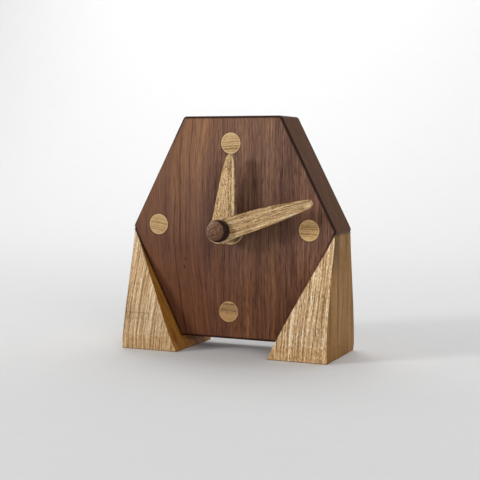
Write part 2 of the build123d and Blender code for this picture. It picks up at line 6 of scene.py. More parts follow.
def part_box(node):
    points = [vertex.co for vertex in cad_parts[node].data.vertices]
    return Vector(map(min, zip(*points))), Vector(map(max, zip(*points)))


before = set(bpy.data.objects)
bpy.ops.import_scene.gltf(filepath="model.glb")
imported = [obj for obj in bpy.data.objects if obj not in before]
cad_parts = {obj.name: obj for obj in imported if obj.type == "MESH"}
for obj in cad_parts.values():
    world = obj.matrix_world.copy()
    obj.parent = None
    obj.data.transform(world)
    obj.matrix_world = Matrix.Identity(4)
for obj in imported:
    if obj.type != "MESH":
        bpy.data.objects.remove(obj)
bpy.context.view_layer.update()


# ---------------------------------------------------------------- node expressions
class V:
    """A number or colour socket in a node tree, with arithmetic on it."""

    def __init__(self, g, sock):
        self.g, self.sock = g, sock

    def __add__(self, o): return self.g.math("ADD", self, o)
    def __radd__(self, o): return self.g.math("ADD", o, self)
    def __sub__(self, o): return self.g.math("SUBTRACT", self, o)
    def __rsub__(self, o): return self.g.math("SUBTRACT", o, self)
    def __mul__(self, o): return self.g.math("MULTIPLY", self, o)
    def __rmul__(self, o): return self.g.math("MULTIPLY", o, self)
    def __truediv__(self, o): return self.g.math("DIVIDE", self, o)
    def __neg__(self): return self.g.math("MULTIPLY", self, -1.0)
    def __pow__(self, o): return self.g.math("POWER", self, o)
    def abs(self): return self.g.math("ABSOLUTE", self)
    def sqrt(self): return self.g.math("SQRT", self)
    def sin(self): return self.g.math("SINE", self)
    def frac(self): return self.g.math("FRACT", self)
    def min(self, o): return self.g.math("MINIMUM", self, o)
    def max(self, o): return self.g.math("MAXIMUM", self, o)

    def ss(self, a, b, lo=0.0, hi=1.0):
        """Smooth step from lo at a to hi at b, clamped."""
        return self.g.ramp01(self, a, b, lo, hi, "SMOOTHSTEP")

    def lin(self, a, b, lo=0.0, hi=1.0):
        return self.g.ramp01(self, a, b, lo, hi, "LINEAR")


def srgb(r, g, b):
    """0 to 255 display values to linear light."""
    def one(c):
        c = c / 255.0
        return c / 12.92 if c <= 0.04045 else ((c + 0.055) / 1.055) ** 2.4
    return (one(r), one(g), one(b))


class Mat:
    """A material built from expressions in millimetres of the shared frame."""

    def __init__(self, name, **sockets):
        self.m = bpy.data.materials.new(name)
        self.m.use_nodes = True
        self.t = self.m.node_tree
        self.b = [n for n in self.t.nodes if n.type == "BSDF_PRINCIPLED"][0]
        for key, value in sockets.items():
            self.const(key, value)
        co = self.t.nodes.new("ShaderNodeTexCoord").outputs["Object"]
        sep = self.t.nodes.new("ShaderNodeSeparateXYZ")
        self.t.links.new(co, sep.inputs[0])
        self.x = V(self, sep.outputs[0]) * 1000.0
        self.y = V(self, sep.outputs[1]) * 1000.0
        self.z = V(self, sep.outputs[2]) * 1000.0

    def const(self, key, value):
        names = {"rough": "Roughness", "metal": "Metallic", "ior": "IOR", "spec": "Specular IOR Level",
                 "coat": "Coat Weight", "coat_rough": "Coat Roughness", "sheen": "Sheen Weight",
                 "sheen_rough": "Sheen Roughness", "aniso": "Anisotropic", "color": "Base Color",
                 "sss": "Subsurface Weight", "trans": "Transmission Weight"}
        sock = self.b.inputs[names[key]]
        sock.default_value = (*value, 1.0) if key == "color" else value

    def put(self, sock, value):
        if isinstance(value, V):
            self.t.links.new(value.sock, sock)
        elif isinstance(value, (tuple, list)):
            sock.default_value = (*value, 1.0) if len(sock.default_value) == 4 and len(value) == 3 else value
        else:
            sock.default_value = value

    def math(self, op, a, b=None, c=None):
        n = self.t.nodes.new("ShaderNodeMath")
        n.operation = op
        for i, v in enumerate((a, b, c)):
            if v is not None:
                self.put(n.inputs[i], v)
        return V(self, n.outputs[0])

    def ramp01(self, v, a, b, lo, hi, kind):
        n = self.t.nodes.new("ShaderNodeMapRange")
        n.interpolation_type = kind
        n.clamp = True
        for i, q in enumerate((v, a, b, lo, hi)):
            self.put(n.inputs[i], q)
        return V(self, n.outputs[0])

    def vec(self, x, y, z):
        n = self.t.nodes.new("ShaderNodeCombineXYZ")
        for i, v in enumerate((x, y, z)):
            self.put(n.inputs[i], v)
        return V(self, n.outputs[0])

    def noise(self, x, y, z, detail=2.0, rough=0.5, dist=0.0):
        """Noise about 0, mostly within -1 to 1, with a feature size of 1 in the given coordinates."""
        n = self.t.nodes.new("ShaderNodeTexNoise")
        n.noise_dimensions = "3D"
        self.put(n.inputs["Vector"], self.vec(x, y, z))
        n.inputs["Scale"].default_value = 1.0
        n.inputs["Detail"].default_value = detail
        n.inputs["Roughness"].default_value = rough
        n.inputs["Distortion"].default_value = dist
        return (V(self, n.outputs[0]) - 0.5) * 2.0

    def cells(self, x, y, z, feature="F1", rand=1.0):
        n = self.t.nodes.new("ShaderNodeTexVoronoi")
        n.feature = feature
        self.put(n.inputs["Vector"], self.vec(x, y, z))
        n.inputs["Scale"].default_value = 1.0
        n.inputs["Randomness"].default_value = rand
        return V(self, n.outputs["Distance"])

    def mix(self, fac, a, b, blend="MIX"):
        n = self.t.nodes.new("ShaderNodeMix")
        n.data_type = "RGBA"
        n.blend_type = blend
        n.clamp_factor = True
        self.put(n.inputs[0], fac)
        self.put(n.inputs[6], a)
        self.put(n.inputs[7], b)
        return V(self, n.outputs[2])

    def shade(self, col, k):
        """Colour times a number."""
        n = self.t.nodes.new("ShaderNodeVectorMath")
        n.operation = "SCALE"
        self.put(n.inputs[0], col)
        self.put(n.inputs["Scale"], k)
        return V(self, n.outputs[0])

    def steps(self, v, stops):
        """Colour ramp through (position, colour) stops."""
        n = self.t.nodes.new("ShaderNodeValToRGB")
        cr = n.color_ramp
        cr.interpolation = "LINEAR"
        while len(cr.elements) < len(stops):
            cr.elements.new(0.5)
        for e, (p, c) in zip(cr.elements, stops):
            e.position = p
            e.color = (*c, 1.0)
        self.put(n.inputs[0], v)
        return V(self, n.outputs[0])

    def color(self, v):
        self.put(self.b.inputs["Base Color"], v)

    def rough(self, v):
        self.put(self.b.inputs["Roughness"], v)

    def bump(self, height, strength=1.0, under=None):
        """Bump from a height in millimetres."""
        n = self.t.nodes.new("ShaderNodeBump")
        n.inputs["Strength"].default_value = strength
        n.inputs["Distance"].default_value = 0.001
        self.put(n.inputs["Height"], height)
        if under is not None:
            self.put(n.inputs["Normal"], under)
        out = V(self, n.outputs[0])
        self.put(self.b.inputs["Normal"], out)
        return out


# ---------------------------------------------------------------- measures shared with the CAD, mm
FACE, BACK = -8.1, 19.9
Z_TOP, Z_MID, Z_BOT = 132.5, 69.7, 7.3
SHAFT = (-0.6, 69.35)
MINUTE = 72.7
MARKS = {"12": (-0.4, 117.4), "3": (46.2, 70.1), "6": (-1.3, 22.8), "9": (-45.4, 71.0)}


def hex_inset(g):
    """How far a point lies inside the slab's outline."""
    ax = g.x.abs()
    up = (61.75 - ax) * 0.8890 + (g.z - Z_MID) * -0.4580
    low = (61.75 - ax) * 0.8964 + (g.z - Z_MID) * 0.4432
    return up.min(low).min(Z_TOP - g.z).min(g.z - Z_BOT)


def near(v, centre, width):
    """1 at centre, falling smoothly to 0 at width on either side."""
    return (v - centre).abs().ss(0.0, width, 1.0, 0.0)


# ---------------------------------------------------------------- walnut slab
def walnut_body():
    g = Mat("walnut", spec=0.35, ior=1.22)
    x, y, z = g.x, g.y, g.z
    # the grain runs up the slab, nearly straight, and bows in the left third
    left = x.ss(6.0, -24.0)
    low, high = (z - 77.0).min(0.0), (z - 77.0).max(0.0)
    arc = low * low * 0.0012 + high * high * 0.0011
    bend = g.noise(x / 60.0, y / 60.0, z / 85.0, 1.0) * 2.6 + g.noise(x / 14.0 + 7.0, y / 22.0, z / 30.0, 1.0) * (left * 1.1 + 0.55)
    # a faint arch of grain above the lowest mark
    arch = near(x, 1.0, 15.0) * (z.ss(24.0, 44.0) * z.ss(66.0, 46.0)) * (x.abs() ** 1.0) * 0.20
    u = x - arc * left + bend + z * 0.012 + arch
    band = g.noise(u / 7.5, y / 30.0, z / 240.0, 1.0, 0.5)
    streak = g.noise(u / 2.1, y / 8.0, z / 60.0, 2.0, 0.6)
    fine = g.noise(u / 0.75, y / 2.2, z / 24.0, 2.0, 0.6)
    hair = g.noise(u / 0.48, y / 0.8, z / 6.5, 1.0, 0.5)
    calm = x.ss(-4.0, -30.0, 1.0, 0.46)
    tone = 0.5 + band * (calm * 0.26) + (streak * 0.30 + fine * 0.50 + hair * 0.34) * calm
    col = g.steps(tone, [(0.0, srgb(64, 36, 25)), (0.28, srgb(88, 55, 40)), (0.5, srgb(107, 70, 51)),
                         (0.74, srgb(127, 86, 62)), (1.0, srgb(150, 105, 76))])
    # warmer and lighter towards the upper left, redder towards the bottom
    side = x * -0.012 + (z - 70.0) * 0.009 + band * (calm * 0.34)
    warm = side.ss(0.10, 1.00)
    col = g.mix(warm, col, g.mix(1.0, col, srgb(255, 246, 220), "MULTIPLY"))
    col = g.shade(col, 1.0 + warm * 0.44)
    red = z.ss(74.0, 14.0)
    col = g.mix(red, col, g.mix(1.0, col, srgb(248, 230, 212), "MULTIPLY"))
    # greyer in the upper part, and orange and purple bands side by side
    lift = z.ss(40.0, 84.0)
    col = g.mix(lift, g.shade(col, 0.8), g.mix(1.0, col, (0.84, 0.96, 1.08), "MULTIPLY"))
    col = g.shade(col, 1.25)
    top = z.ss(66.0, 118.0)
    col = g.mix(top, col, g.mix(1.0, g.shade(col, 1.36), (0.84, 0.91, 1.0), "MULTIPLY"))
    col = g.shade(col, 1.0 + x.ss(28.0, 46.0) * z.ss(104.0, 84.0) * z.ss(36.0, 50.0) * 0.30)
    hue = g.noise(u / 4.2 + 20.0, y / 30.0, z / 150.0, 2.0, 0.6)
    col = g.mix(hue.ss(0.05, 0.60) * x.ss(-8.0, -22.0, 0.85, 0.62), col, g.mix(1.0, g.shade(col, 1.22), (1.0, 0.88, 0.68), "MULTIPLY"))
    cast = g.noise(u / 12.0 + 3.0, y / 40.0, z / 160.0, 1.0).ss(0.0, 0.45).max(hue.ss(-0.05, -0.50))
    col = g.mix(cast * (1.0 - warm * 0.7) * z.ss(20.0, 90.0, 0.40, 0.90), col, g.mix(1.0, col, srgb(228, 224, 246), "MULTIPLY"))
    # browner round the middle and below it
    col = g.mix(1.0, col, (0.965, 0.975, 0.985), "MULTIPLY")
    col = g.mix(x.ss(-24.0, -4.0) * z.ss(84.0, 62.0), col, g.mix(1.0, col, (0.94, 1.045, 1.13), "MULTIPLY"))
    # a darker, cooler strip along the left slope
    up, down = (z - 88.0).max(0.0), (z - 88.0).min(0.0)
    strip = (x + 39.0 - up * up * 0.0062 - down * down * 0.003 + bend * 0.5).ss(1.6, -1.4) * z.ss(46.0, 62.0)
    col = g.mix(strip, col, g.mix(1.0, col, (0.80, 0.79, 0.85), "MULTIPLY"))
    # dark flow lines in the left third and a few darker runs in the right half
    wander = g.noise(0.0, 0.0, z / 24.0, 1.0) * 0.6
    l1 = near(u + wander, -31.2, 0.75) * z.ss(46.0, 70.0) * z.ss(136.0, 104.0, 0.24, 0.46)
    l2 = near(u - wander, -25.4, 0.60) * z.ss(76.0, 96.0) * 0.34
    l3 = near(u + wander, -34.6, 0.70) * z.ss(96.0, 78.0) * 0.48
    l4 = near(u - wander, -27.6, 0.60) * z.ss(92.0, 74.0) * 0.42
    l5 = near(u + wander * 0.6, -20.5, 0.60) * z.ss(62.0, 44.0) * 0.34
    run = g.noise(u / 3.0 + 9.0, 0.0, z / 40.0, 1.0).ss(0.0, 0.4)
    r1 = near(u, 27.0, 5.0) * run * 0.30
    r2 = near(u, 9.0, 4.0) * z.ss(60.0, 90.0) * run * 0.26
    r3 = near(u, 17.5, 3.6) * z.ss(24.0, 40.0) * z.ss(68.0, 52.0) * run.max(0.45) * 0.30
    r4 = near(u, 6.5, 2.4) * z.ss(14.0, 30.0) * z.ss(56.0, 44.0) * 0.14
    lines = l1 + l2 + l3 + l4 + l5 + r1 + r2 + r3 + r4
    # a dark cloud and two small specks left of the centre
    cloud = near((((x + 31.0) / 5.0) ** 2.0 + ((z - 58.0) / 8.0) ** 2.0).sqrt(), 0.0, 1.4) * 0.20
    dial = (y - FACE).ss(3.0, 6.0, 1.0, 0.0)
    sp = dial * near((((x + 28.8) / 1.25) ** 2.0 + ((z - 46.9) / 1.9) ** 2.0).sqrt(), 0.0, 1.0)
    sp2 = dial * near((((x + 28.3) / 1.3) ** 2.0 + ((z - 51.8) / 1.4) ** 2.0).sqrt(), 0.0, 1.0)
    # open pores: short dark dashes along the grain
    pores = g.noise(u / 0.50, y / 0.42, z / 5.5, 0.0).ss(0.26, 0.56)
    some = g.noise(u / 5.0, y / 9.0, z / 50.0, 1.0).ss(-0.4, 0.5, 0.35, 1.0)
    right = x.ss(-6.0, 12.0, 0.7, 1.25)
    pores = pores * some * right
    col = g.shade(col, (1.0 - lines) * (1.0 - pores * 0.50) * (1.0 - sp * 0.55) * (1.0 - sp2 * 0.50) * (1.0 - cloud))
    # smooth, even, darker saw-cut sides
    inset = hex_inset(g)
    deep = (y - FACE).min(BACK - y)
    flank = inset.ss(1.6, 0.9) * deep.ss(1.0, 1.8)
    # end grain: rings in shallow arcs through the thickness, with scattered pores
    arc_r = ((x - 14.0) ** 2.0 + (y + 58.0) ** 2.0).sqrt() + g.noise(x / 14.0, y / 9.0, z / 40.0, 1.0) * 1.2
    rings = g.noise(arc_r / 1.5, x / 60.0, z / 160.0, 2.0, 0.6)
    end_pores = g.noise(x / 0.45, y / 0.45, z / 2.6, 0.0).ss(0.22, 0.50)
    mottle = g.noise(x / 3.2, y / 3.2, z / 7.0, 2.0, 0.6)
    side_tone = (1.04 + rings * 0.55 + mottle * 0.34 + hair * 0.20) * (1.0 - end_pores * 0.45)
    col = g.mix(flank, col, g.shade(srgb(89, 51, 18), side_tone))
    # dark line where the finish gathers on the rounded outline
    edge = inset.ss(1.7, 0.95) * deep.ss(1.8, 1.1)
    # not so dark where the legs meet the slab
    joint = ((61.75 - x.abs()) * 0.8964 + (z - Z_MID) * 0.4432).ss(2.2, 1.4) * z.ss(Z_MID - 0.5, Z_MID - 4.0)
    # and thinner on the upper left slope
    thin = x.ss(-33.0, -37.0) * z.ss(Z_MID - 2.0, Z_MID + 2.0)
    col = g.mix(edge * (0.92 - joint * 0.62 - thin * 0.60), col, g.shade(srgb(44, 23, 15), 1.0 + fine * 0.25))
    # dark ring round the hour marks
    front = (y - FACE).ss(0.8, 2.0, 0.40, 0.0)
    for mx, mz in MARKS.values():
        d = ((x - mx) ** 2.0 + (z - mz) ** 2.0).sqrt()
        col = g.shade(col, 1.0 - d.ss(6.0, 6.8, 1.0, 0.0) * front)
    g.color(col)
    g.rough(0.50 - warm * 0.03 + pores * 0.18 + fine * 0.05 - edge * 0.10)
    g.bump(pores * -0.07 * (1.0 - flank) + hair * 0.012 + fine * 0.016 + flank * (rings * 0.02 - end_pores * 0.05))
    return g.m


# ---------------------------------------------------------------- brushed ash legs
def ash_leg(name, sign):
    g = Mat(name, spec=0.40, ior=1.28)
    x, y, z = g.x * sign, g.y, g.z          # x grows outwards on either leg
    sd = 3.0 * sign
    wob = g.noise(x / 9.0 + sd, y / 14.0, z / 26.0, 1.0) * 0.6 + g.noise(x / 3.0, y / 6.0 + sd, z / 7.0, 1.0) * 0.26
    q = x + y * 0.10 + wob - z * (0.055 if sign > 0 else -0.025)
    # coarse raised rings on the sloping faces
    ring = g.noise(q / 0.84 + sd, y / 20.0, z / 50.0, 1.0, 0.5)
    ring2 = g.noise(q / 0.46, y / 9.0, z / 14.0, 1.0, 0.5)
    grit = g.noise(q / 0.46, y / 1.6, z / 1.6, 1.0, 0.6)
    broad = g.noise(q / 7.0, y / 14.0, z / 40.0, 1.0)
    tone = (0.47 if sign > 0 else 0.50) + ring * 0.56 + ring2 * 0.40 + grit * (0.48 if sign > 0 else 0.34) + broad * 0.12
    base = g.steps(tone, [(0.0, srgb(126, 90, 56)), (0.28, srgb(166, 128, 84)), (0.5, srgb(200, 165, 122)),
                          (0.74, srgb(230, 202, 160)), (1.0, srgb(252, 236, 206))])
    # painted highlights: near-white glints on the raised rings, stronger on the right leg
    painted_glint = g.noise(q / 0.60 + 4.0, y / 2.0, z / 2.0, 0.0).ss(0.20, 0.55) * ring.ss(-0.15, 0.35)
    base = g.mix(painted_glint * (0.95 if sign > 0 else 0.50), base, srgb(255, 246, 224))
    pores = g.noise(q / 0.5, y / 2.0, z / 3.4, 0.0).ss(0.20, 0.50) * ring.ss(0.30, -0.20)
    # brushing is coarse on the sloping front and back, and the outer and inner sides are planed
    nrm = g.t.nodes.new("ShaderNodeNewGeometry").outputs["True Normal"]
    sep = g.t.nodes.new("ShaderNodeSeparateXYZ")
    g.t.links.new(nrm, sep.inputs[0])
    ny = V(g, sep.outputs[1]).abs()
    nz = V(g, sep.outputs[2])
    rough_face = ny.ss(0.86, 0.94)
    p = y + x * 0.16 + g.noise(y / 12.0, x / 12.0, z / 55.0, 1.0) * 0.9
    vein = g.noise(p / 1.5 + sd, x / 12.0, z / 150.0, 2.0, 0.55)
    thin = g.noise(p / 0.45, x / 3.0, z / 22.0, 2.0, 0.6)
    planed = g.steps(0.5 + vein * 0.46 + thin * 0.60 + g.noise(p / 5.0, x / 12.0, z / 60.0, 1.0) * 0.30,
                     [(0.0, srgb(103, 65, 24)), (0.35, srgb(142, 99, 44)), (0.65, srgb(168, 122, 61)), (1.0, srgb(197, 153, 92))])
    # the planed faces are a little darker towards the top, with painted shade in the upper part near the front, under
    # the slab; the inner slope under the slab is warmer
    inner = nz.ss(0.1, 0.35)
    planed = g.shade(planed, (1.0 - z.ss(40.0, 64.0) * 0.06) * (1.0 - z.ss(42.0, 58.0) * y.ss(5.0, -7.0) * 0.42))
    planed = g.mix(inner, planed, g.mix(1.0, planed, (1.16, 1.03, 0.80), "MULTIPLY"))
    # painted light: the brushed faces lighter towards the top, the right leg's lighter than the left's
    painted_light_and_saw_marks = z.ss(26.0, 50.0) * 0.12 + 1.04 if sign > 0 else z.ss(14.0, 48.0) * 0.13 + 0.90
    if sign < 0:
        # two faint saw marks across the left foot
        mark = (z - 20.6).abs().ss(0.75, 0.25).max((z - 17.3).abs().ss(0.65, 0.25) * 0.7)
        painted_light_and_saw_marks = painted_light_and_saw_marks * (1.0 - mark * x.ss(40.0, 50.0) * 0.26)
    col = g.mix(rough_face, planed, g.shade(base, painted_light_and_saw_marks))
    # painted shade on the upright plinth: the lowest few millimetres darker and more golden
    foot = z.ss(8.6, 7.4)
    col = g.mix(foot * 0.26, col, g.mix(1.0, col, srgb(244, 210, 150), "MULTIPLY"))
    col = g.shade(col, 1.0 - pores * (0.20 + rough_face * 0.22))
    # painted shadow in the crease where the leg meets the slab
    inset = hex_inset(g)
    painted_joint_shadow = inset.ss(-0.80, -0.1) * (y - FACE).ss(-1.2, 0.4)
    col = g.shade(col, 1.0 - painted_joint_shadow * 0.55)
    # and a thin band of painted shade at the very top of the leg, just under the slab
    col = g.shade(col, 1.0 - z.ss(68.2, 69.2) * 0.50)
    # the lowest millimetre is darker
    col = g.shade(col, z.ss(0.0, 0.9, 0.60, 1.0))
    g.color(col)
    g.rough(0.52 - ring * 0.05 + pores * 0.2)
    relief = (ring * 0.34 + ring2 * 0.18 + grit * 0.20) * rough_face + (thin * 0.020 + vein * 0.015) * (1.0 - rough_face)
    g.bump(relief - pores * 0.10)
    return g.m


# ---------------------------------------------------------------- hands
def hand_wood(name, angle, seed, lines):
    """Brushed light wood; lines is 0 for a dotted grain and 1 for long lines along the hand."""
    g = Mat(name, spec=0.35, ior=1.35)
    a = radians(angle)
    dx, dz = g.x - SHAFT[0], g.z - SHAFT[1]
    w = dx * sin(a) + dz * cos(a)            # along the hand
    v = dx * cos(a) - dz * sin(a)            # across it
    y = g.y
    wob = g.noise(v / 9.0 + seed, y / 7.0, w / 26.0, 1.0) * (0.9 - lines * 0.4)
    q = v * 0.95 + y * 0.30 + wob
    ring = g.noise(q / 0.60 + seed, y / 5.0, w / (7.0 + lines * 34.0), 1.0, 0.5)
    long = g.noise(q / 1.3 + seed * 2.0, y / 5.0, w / 60.0, 0.0)
    fine = g.noise(q / 0.42, y / 1.0, w / (2.4 + lines * 5.0), 1.0, 0.6)
    # the dots lie in short slanted rows
    grit = g.noise((q + w * 0.5) / 0.80, y / 0.9 + seed, (w - q * 0.5) / 0.70, 1.0, 0.5)
    tone = 0.47 + long * 0.30 * lines + ring * (0.24 + lines * 0.52) + fine * 0.38 + grit * (0.66 - lines * 0.46)
    col = g.steps(tone, [(0.0, srgb(104, 70, 36)), (0.26, srgb(153, 116, 70)), (0.52, srgb(194, 159, 110)),
                         (0.76, srgb(224, 195, 148)), (1.0, srgb(248, 228, 190))])
    pores = g.noise(q / 0.55 + 5.0, y / 0.6, w / (1.9 + lines * 1.6) + seed, 0.0).ss(0.20, 0.46)
    col = g.shade(col, (1.17 - lines * 0.15) * (1.0 - pores * (0.46 - lines * 0.06)))
    col = g.mix(1.0, col, (0.98, 1.0, 1.08), "MULTIPLY")
    return g, col, w, v, ring, fine, grit, pores


def hour_wood():
    g, col, w, v, ring, fine, grit, pores = hand_wood("hour_hand_wood", MINUTE / 12.0, 3.0, 0.10)
    # two dark lines and a bright one that follow the right edge
    side = v - 6.9 + w * 0.106
    run = w.ss(2.0, 8.0) * w.ss(44.0, 36.0)
    bright = near(side, -0.75, 0.75) * run
    dark = near(side, -1.75, 0.50) * run * 0.55 + near(side, -3.1, 0.55) * run * 0.40
    col = g.mix(bright * 0.45, col, srgb(240, 216, 168))
    col = g.shade(col, 1.0 - dark)
    # painted shade on the hand's right side face, darker than the front
    nrm = g.t.nodes.new("ShaderNodeNewGeometry").outputs["True Normal"]
    sep = g.t.nodes.new("ShaderNodeSeparateXYZ")
    g.t.links.new(nrm, sep.inputs[0])
    col = g.shade(col, V(g, sep.outputs[0]).ss(0.45, 0.85, 1.0, 0.52))
    g.color(col)
    g.rough(0.50 + pores * 0.15)
    g.bump(ring * 0.07 + fine * 0.06 + grit * 0.12 - pores * 0.10 - dark * 0.10)
    return g.m


def minute_wood():
    g, col, w, v, ring, fine, grit, pores = hand_wood("minute_hand_wood", MINUTE, 11.0, 0.82)
    # two long lines out to the tip, a cluster of dark pores just beyond the knob, and painted light that makes the
    # last few millimetres of the tip lighter
    l1 = near(v + 1.3 - w * 0.012, 0.0, 0.45) * w.ss(24.0, 34.0) * 0.42
    l2 = near(v - 0.9 + w * 0.014, 0.0, 0.40) * w.ss(16.0, 30.0) * 0.32
    spot = near(((w - 15.5) ** 2.0 + ((v + 2.4) * 2.2) ** 2.0).sqrt(), 0.0, 9.0)
    col = g.shade(col, (0.96 - spot * pores * 0.95 - spot * 0.06) * (1.0 - l1) * (1.0 - l2) * w.ss(51.0, 54.5, 1.0, 1.30))
    g.color(col)
    g.rough(0.50 + pores * 0.15)
    g.bump(ring * 0.10 + fine * 0.05 + grit * 0.04 - pores * 0.09 - (l1 + l2) * 0.10)
    return g.m


# ---------------------------------------------------------------- hour marks
def inlay_wood(name, at, turn, seed, lines, tint=(1.0, 1.0, 1.0), upper=0.0):
    """End of a light plug: growth rings as crisp lines, each (height, strength, width)."""
    g = Mat(name, spec=0.3)
    dx, dz = g.x - at[0], g.z - at[1]
    a = radians(turn)
    s = dx * cos(a) + dz * sin(a)
    t = dz * cos(a) - dx * sin(a)
    wave = g.noise(s / 5.0 + seed, 0.0, t / 9.0, 1.0) * 0.55 + g.noise(s / 1.6, seed, t / 3.0, 1.0) * 0.14
    q = t + wave
    ring = 0.0
    for h, strength, width in lines:
        fade = g.noise(s / 3.4 + seed + h, h, 0.0, 1.0).ss(-0.5, 0.2, 0.55, 1.0)
        ring = near(q, h, width) * fade * strength + ring
    fine = g.noise(s / 2.6, g.y / 3.0 + seed, q / 0.34, 2.0, 0.6)
    blot = g.noise(s / 3.0, seed, t / 2.4, 1.0)
    tone = 0.64 + fine * 0.36 + blot * 0.24
    col = g.steps(tone, [(0.0, srgb(140, 107, 62)), (0.3, srgb(168, 133, 82)), (0.6, srgb(197, 162, 111)), (1.0, srgb(224, 194, 146))])
    col = g.shade(col, 1.0 - t.ss(-2.0, 1.5) * t.ss(4.6, 3.8) * upper)
    col = g.mix(ring, col, srgb(112, 82, 42))
    col = g.mix(1.0, col, tint, "MULTIPLY")
    r = (dx ** 2.0 + dz ** 2.0).sqrt()
    col = g.mix(r.ss(4.9, 5.5) * r.ss(5.95, 5.7) * 0.50, col, g.mix(1.0, srgb(216, 184, 138), tint, "MULTIPLY"))
    col = g.shade(col, r.ss(5.70, 5.98, 1.0, 0.40))
    g.color(col)
    g.rough(0.46 + ring * 0.06)
    g.bump(ring * -0.03 + fine * 0.012)
    return g.m


def ring_wood():
    g = Mat("centre_disc_wood", spec=0.4)
    dx, dz = g.x - SHAFT[0], g.z - SHAFT[1]
    r = (dx ** 2.0 + dz ** 2.0).sqrt()
    t = dz + g.noise(dx / 6.0, g.y / 6.0, dz / 6.0, 1.0) * 1.0
    line = g.noise(dx / 20.0, g.y / 6.0, t / 0.9, 2.0, 0.5)
    fine = g.noise(dx / 5.0, g.y / 3.0, t / 0.3, 1.0)
    col = g.steps(0.55 + line * 0.35 + fine * 0.15,
                  [(0.0, srgb(128, 94, 50)), (0.5, srgb(176, 142, 90)), (1.0, srgb(202, 170, 118))])
    # painted shadow where the hands shade it, and a painted highlight on the rim where its edge catches the light
    shade = dx.ss(0.5, 4.5) * dz.ss(-8.3, -6.8)
    col = g.shade(col, 1.0 - shade * 0.62)
    col = g.mix(r.ss(7.9, 8.2) * 0.7, col, srgb(226, 194, 140))
    g.color(col)
    g.rough(0.5)
    g.bump(line * -0.03 + fine * 0.01)
    return g.m


def knob_wood():
    g = Mat("knob_walnut", spec=0.45, ior=1.28)
    dx, dz = g.x - SHAFT[0], g.z - SHAFT[1]
    y = g.y
    # end grain: rings cross the face in shallow arcs, with scattered pores
    r = ((dx + 9.0) ** 2.0 + (dz - 16.0) ** 2.0).sqrt() + g.noise(dx / 4.0, y / 9.0, dz / 4.0, 1.0) * 0.8
    ring = g.noise(r / 1.1, y / 20.0, 0.0, 1.5, 0.5)
    pore = g.noise(dx / 0.55, y / 6.0, dz / 0.55, 0.0).ss(0.24, 0.50)
    fleck = g.noise(dx / 0.9, y / 5.0, dz / 0.9, 2.0, 0.6)
    # painted light: the face lighter towards the upper left and darker towards the lower right
    col = g.steps(0.5 + ring * 0.34 + fleck * 0.50 + (dz - dx) * 0.030,
                  [(0.0, srgb(60, 36, 25)), (0.5, srgb(103, 70, 52)), (1.0, srgb(157, 122, 102))])
    rr = (dx ** 2.0 + dz ** 2.0).sqrt()
    # painted shade on the rounded rim, strongest on the right; the turned side all round is darker, partly its own
    # burnt colour and partly painted shade
    side = (rr + dx * 0.22 - dz * 0.05).ss(4.8, 5.7).max(rr.ss(5.95, 6.15))
    turned = 1.0 + g.noise(0.0, y / 0.45, 0.0, 2.0, 0.6) * 0.10 + g.noise(dx / 1.2, y / 9.0, dz / 1.2, 2.0) * 0.14
    col = g.mix(side * 0.92, col, g.shade(srgb(32, 10, 2), turned))
    col = g.shade(col, 1.0 - pore * 0.30)
    g.color(col)
    g.rough(0.32 + pore * 0.2)
    g.bump(pore * -0.08 + fleck * 0.06)
    return g.m


def dowel_wood():
    g = Mat("dowel_beech", spec=0.4)
    u = g.x * 0.45 + g.z * 0.9
    v = g.z * 0.45 - g.x * 0.9
    line = g.noise(u / 22.0, g.y / 0.9, v / 1.4, 2.0, 0.6)
    fleck = g.noise(u / 2.6, g.y / 0.4, v / 0.4, 0.0).ss(0.25, 0.5)
    col = g.steps(0.5 + line * 0.45, [(0.0, srgb(176, 134, 92)), (1.0, srgb(214, 178, 134))])
    g.color(g.shade(col, 1.0 - fleck * 0.22))
    g.rough(0.6 + line * 0.05)
    g.bump(line * 0.03 - fleck * 0.02)
    return g.m


# ---------------------------------------------------------------- metals and plastics
def moulded(name, tint, rough, grain=0.030, gloss=0.5, size=0.28):
    """Moulded plastic with a spark-eroded texture."""
    g = Mat(name, spec=gloss)
    a = g.noise(g.x / size, g.y / size, g.z / size, 2.0, 0.6)
    b = g.noise(g.x / 9.0, g.y / 9.0, g.z / 9.0, 2.0, 0.5)
    wear = g.noise(g.x / 2.4, g.y / 2.4, g.z / 2.4, 3.0, 0.65).ss(0.35, 0.8)
    g.color(g.shade(tint, 1.0 + b * 0.10 + a * 0.06 + wear * 0.12))
    g.rough(rough + a * 0.07 + b * 0.05)
    g.bump(a * grain)
    return g.m


def acetal(name, tint):
    g = Mat(name, spec=0.5, sss=0.0)
    b = g.noise(g.x / 5.0, g.y / 5.0, g.z / 5.0, 2.0, 0.5)
    flow = g.noise(g.x / 1.2, g.y / 4.0, g.z / 1.2, 3.0, 0.6)
    g.color(g.shade(tint, 1.0 + b * 0.05 + flow * 0.03))
    g.rough(0.38 + flow * 0.08)
    g.bump(flow * 0.006)
    return g.m


def turned_metal(name, tint, rough, centre=SHAFT, axis="y"):
    """Metal with fine lathe rings about an axis along y."""
    g = Mat(name, metal=1.0)
    dx, dz = g.x - centre[0], g.z - centre[1]
    r = (dx ** 2.0 + dz ** 2.0).sqrt()
    rings = g.noise(r / 0.11, g.y / 0.13, 0.0, 2.0, 0.7)
    smear = g.noise(g.x / 2.0, g.y / 2.0, g.z / 2.0, 3.0, 0.6)
    g.color(g.shade(tint, 1.0 + rings * 0.05 + smear * 0.10))
    g.rough(rough + rings * 0.05 + smear * 0.09)
    g.bump(rings * 0.004)
    return g.m


